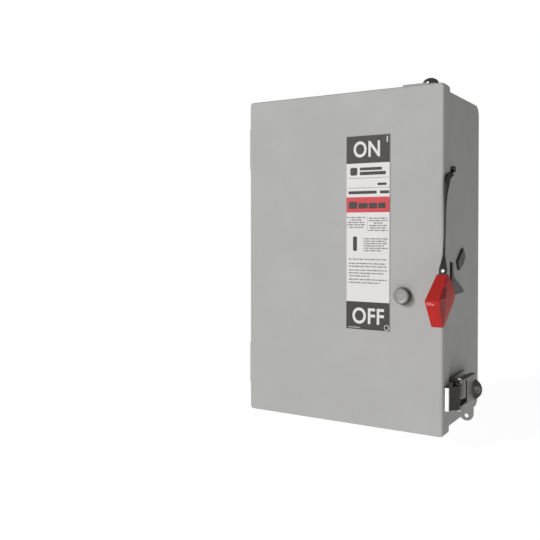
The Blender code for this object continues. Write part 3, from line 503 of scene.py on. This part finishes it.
button_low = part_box("push_button")[0]
bezel_low, bezel_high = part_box("button_bezel")
button_middle = Vector(((bezel_low.x + bezel_high.x) / 2, button_low.y,
                        (bezel_low.z + bezel_high.z) / 2))


def button_cap(work):
    """A slightly dished cap set in the button's head, with a rolled rim."""
    turned(work, button_middle, (0, -1, 0), [
        (0, -0.0005), (8.7 * MM, -0.0005), (8.8 * MM, 0.1 * MM), (8.45 * MM, 0.5 * MM),
        (7.9 * MM, 0.55 * MM), (7.3 * MM, 0.25 * MM), (4 * MM, 0.14 * MM), (0, 0.1 * MM)], 48)


def button_marks(work):
    """Two plain raised bars where the button's small lettering would be."""
    front = button_middle.y - 0.42 * MM
    for i, half in enumerate((4.6, 3.4)):
        z = button_middle.z + (1.3 - 2.6 * i) * MM
        rounded_plate(work, button_middle.x - half * MM, button_middle.x + half * MM,
                      z - 0.55 * MM, z + 0.55 * MM, 0.4 * MM, button_middle.y, front)


piece("button_cap", button_cap, button_top, "button")
piece("button_marks", button_marks, grey_ink, "button")

cap_low, cap_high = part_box("hub_cap")
plate_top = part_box("hub_plate")[1].z
cap_middle = Vector(((cap_low.x + cap_high.x) / 2, (cap_low.y + cap_high.y) / 2, plate_top))


def hub_collar(work):
    """The bright ring that stands on the hub plate, round the top bolt."""
    turned(work, cap_middle, (0, 0, 1), [
        (5.9 * MM, -0.1 * MM), (7.4 * MM, -0.1 * MM), (7.6 * MM, 0.6 * MM),
        (6.9 * MM, 1.4 * MM), (6.7 * MM, 3.9 * MM), (5.9 * MM, 3.9 * MM)], 40, closed=True)


piece("hub_collar", hub_collar, zinc, "enclosure")


# ---------------------------------------------------------------- grip and latch details

grip_points = [vertex.co.copy() for vertex in nodes["handle_grip"].data.vertices]
grip_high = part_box("handle_grip")[1]
grip_peak = max(grip_points, key=lambda p: p.x)
right_side = [p for p in grip_points if p.x > grip_high.x - 5.5 * MM]
grip_front = min(right_side, key=lambda p: p.y)
grip_top = max(right_side, key=lambda p: p.z)
grip_bottom = min(right_side, key=lambda p: p.z)


def on_grip(point, direction):
    """Where a line through the point, along the direction, first meets the grip."""
    direction = Vector(direction)
    hit, place, _, _ = nodes["handle_grip"].ray_cast(point - direction * 0.1, direction)
    return place.copy() if hit else point.copy()


# The rays need the grip where the frame put it.
bpy.context.view_layer.update()


def grip_painted_shade_pads(work):
    """Two thin textured pads on the grip's right face, ahead of its high point, in a darker red
    that is painted shade of the face's front facets.
    """
    for far in (grip_top, grip_bottom):
        corners = [grip_front, far, grip_peak]
        middle = sum(corners, Vector()) / 3
        normal = (far - grip_front).cross(grip_peak - grip_front).normalized()
        normal = normal if normal.x > 0 else -normal
        inset = [middle.lerp(corner, 0.84) for corner in corners]
        outline = []
        for i in range(3):
            here, before, after = inset[i], inset[i - 1], inset[(i + 1) % 3]
            start, end = here.lerp(before, 0.1), here.lerp(after, 0.1)
            for step in range(5):
                t = step / 4
                outline.append(start.lerp(here, t).lerp(here.lerp(end, t), t))
        low = [work.verts.new(on_grip(p, (-1, 0, 0)) - normal * 0.3 * MM) for p in outline]
        high = [work.verts.new(on_grip(middle.lerp(p, 0.985), (-1, 0, 0)) + normal * 0.14 * MM)
                for p in outline]
        close_shell(work, low, high)


piece("grip_painted_shade_pads", grip_painted_shade_pads, painted_shade_red, "handle")


def grip_marks(work):
    """Raised bars on the lower front facet, just under the grip's front ridge."""
    along = Vector((0, grip_bottom.y - grip_front.y, grip_bottom.z - grip_front.z)).normalized()
    outward = Vector((0, along.z, -along.y))
    outward = outward if outward.y < 0 else -outward
    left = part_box("handle_grip")[0].x
    ridge = Vector((0, grip_front.y, grip_front.z))
    for start, end, near, far in ((3.2, 5.4, 1.8, 6.0), (6.2, 8.4, 1.8, 6.0),
                                  (9.2, 11.6, 3.2, 6.0)):
        corners = []
        for x, distance in ((start, near), (end, near), (end, far), (start, far)):
            corners.append(ridge + Vector((left + x * MM, 0, 0)) + along * distance * MM)
        found = [on_grip(p, (0, 1, 0)) for p in corners]
        low = [work.verts.new(p - outward * 0.5 * MM) for p in found]
        high = [work.verts.new(p + outward * 0.12 * MM) for p in found]
        close_shell(work, low, high)


piece("grip_marks", grip_marks, pink, "handle")


# The middle of the hole in the latch lever's round tab, on the tab's rear face.
lever_low, lever_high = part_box("latch_lever")
tab_hole = Vector((lever_high.x - 6.5 * MM, lever_high.y, lever_low.z + 14 * MM))


def tab_eyelet(work):
    """An eyelet rolled round the round tab's hole, closed by a thin recessed web."""
    turned(work, tab_hole, (0, 1, 0), [
        (0, -1.5 * MM), (3.1 * MM, -1.5 * MM), (3.3 * MM, -2.5 * MM), (4.6 * MM, -2.55 * MM),
        (4.9 * MM, -2.1 * MM), (3.45 * MM, -1.9 * MM), (3.45 * MM, -0.4 * MM),
        (4.6 * MM, 0.02 * MM), (4.2 * MM, 0.3 * MM), (3.2 * MM, 0.3 * MM),
        (2.9 * MM, -0.9 * MM), (0, -0.9 * MM)], 32)


piece("tab_eyelet", tab_eyelet, paint, "latch_lever")


# ---------------------------------------------------------------- box details

box_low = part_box("enclosure_body")[0]


def bottom_knockouts(work):
    """Pressed rings of two conduit knockouts, under the box."""
    for x, y, sizes in ((0.0, -0.085, (14, 19, 25)), (-0.075, -0.085, (11, 14, 17.5))):
        for size in sizes:
            turned(work, (x, y, box_low.z), (0, 0, -1), [
                (size * MM - 0.5 * MM, -0.2 * MM), (size * MM + 0.5 * MM, -0.2 * MM),
                (size * MM + 0.25 * MM, 0.35 * MM), (size * MM - 0.25 * MM, 0.35 * MM)],
                48, closed=True)


def hinge_rivets(work):
    """Round rivet heads that hold the hinge leaves to the box."""
    for name in ("hinge_leaf_box_lower", "hinge_leaf_box_upper"):
        low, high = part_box(name)
        for share in (0.2, 0.5, 0.8):
            z = low.z + (high.z - low.z) * share
            rivet_head(work, (high.x - 2.0 * MM, high.y - 6 * MM, z), (-1, 0, 0), 2.6 * MM,
                       1.6 * MM)


piece("bottom_knockouts", bottom_knockouts, paint, "enclosure")
piece("hinge_rivets", hinge_rivets, paint, "enclosure")


# How much smaller the wraps' radius is than that of the fuses' end caps.
WRAP_STEP = 1.2 * MM


def fuse_bands(work):
    """A thin plain wrap round the middle of each fuse."""
    for side in ("left", "middle", "right"):
        low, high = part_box("fuse_" + side)
        middle = Vector(((low.x + high.x) / 2, (low.y + high.y) / 2, (low.z + high.z) / 2))
        radius = (high.x - low.x) / 2 - WRAP_STEP
        half = 24 * MM
        turned(work, middle, (0, 0, 1), [
            (radius - 0.1 * MM, -half), (radius + 0.22 * MM, -half), (radius + 0.22 * MM, half),
            (radius - 0.1 * MM, half)], 40, closed=True)


piece("fuse_wraps", fuse_bands, white, "enclosure")


# ---------------------------------------------------------------- stage, light, camera

FLOOR_GLOW = 0.955
FLOOR_REACH = 30.0
LIGHT_FROM_AROUND = 0.12
SUN_STRENGTH = 2.85
SUN_ANGLE = math.radians(24)
SUN_DIRECTION = (0.50, 0.78, -0.40)
CAMERA_PLACE = (0.41366, -1.01695, 0.03827)
# Degrees: how far the camera looks down, and how far it is turned from facing the door.
CAMERA_DOWN = 0.88
CAMERA_ROUND = 31.6

floor_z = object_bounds()[0].z - 0.5 * MM


def stage_floor():
    """A pale floor grid that glows enough to stay even and near white."""
    mesh = bpy.data.meshes.new("floor")
    work = bmesh.new()
    steps, reach = 24, FLOOR_REACH
    grid = [[work.verts.new((reach * (2 * i / steps - 1), reach * (2 * j / steps - 1), floor_z))
             for i in range(steps + 1)] for j in range(steps + 1)]
    for j in range(steps):
        for i in range(steps):
            work.faces.new((grid[j][i], grid[j][i + 1], grid[j + 1][i + 1], grid[j + 1][i]))
    work.to_mesh(mesh)
    work.free()
    mesh.materials.append(finish_material("floor_pale", (0.12, 0.12, 0.12), 0.85, patch=0.01,
                                          patch_size=400, grain=0.01, bump=0.02, bump_size=3,
                                          extra={"Emission Color": (1, 1, 1, 1),
                                                 "Emission Strength": FLOOR_GLOW,
                                                 "Specular IOR Level": 0.0}))
    made = bpy.data.objects.new("floor", mesh)
    bpy.context.scene.collection.objects.link(made)


stage_floor()

# The world is a white backdrop where it is seen directly, and a weak even light elsewhere.
world = bpy.data.worlds.new("studio")
bpy.context.scene.world = world
world.use_nodes = True
wtree = world.node_tree
background = wtree.nodes["Background"]
background.inputs["Color"].default_value = (1, 1, 1, 1)
background.inputs["Strength"].default_value = LIGHT_FROM_AROUND
backdrop = wtree.nodes.new("ShaderNodeBackground")
backdrop.inputs["Color"].default_value = (1, 1, 1, 1)
backdrop.inputs["Strength"].default_value = 1.0
path = wtree.nodes.new("ShaderNodeLightPath")
choose = wtree.nodes.new("ShaderNodeMixShader")
wtree.links.new(path.outputs["Is Camera Ray"], choose.inputs["Fac"])
wtree.links.new(background.outputs["Background"], choose.inputs[1])
wtree.links.new(backdrop.outputs["Background"], choose.inputs[2])
wtree.links.new(choose.outputs["Shader"], wtree.nodes["World Output"].inputs["Surface"])


def soft_light(name, place, target, size, power):
    """A rectangular light at a place, aimed at a target; sizes in metres, power in watts."""
    data = bpy.data.lights.new(name, "AREA")
    data.shape = "RECTANGLE"
    data.size, data.size_y = size
    data.energy = power
    made = bpy.data.objects.new(name, data)
    bpy.context.scene.collection.objects.link(made)
    made.location = place
    made.rotation_euler = (Vector(target) - Vector(place)).to_track_quat("-Z", "Y").to_euler()


sun = bpy.data.lights.new("key", "SUN")
sun.energy = SUN_STRENGTH
sun.angle = SUN_ANGLE
key = bpy.data.objects.new("key", sun)
bpy.context.scene.collection.objects.link(key)
key.rotation_euler = Vector(SUN_DIRECTION).to_track_quat("-Z", "Y").to_euler()
soft_light("strip", (1.5, -1.9, 0.9), (0.13, -0.14, 0.0), (0.12, 0.8), 0.5)

bpy.context.scene.view_settings.view_transform = "Standard"

lens = bpy.data.cameras.new("camera")
lens.sensor_width = 36
lens.lens = 47.84
lens.shift_y = -0.0556
lens.clip_start = 0.01
lens.clip_end = 60
camera = bpy.data.objects.new("camera", lens)
bpy.context.scene.collection.objects.link(camera)
camera.location = CAMERA_PLACE
camera.rotation_euler = (math.radians(90 - CAMERA_DOWN), 0, math.radians(CAMERA_ROUND))
bpy.context.scene.camera = camera
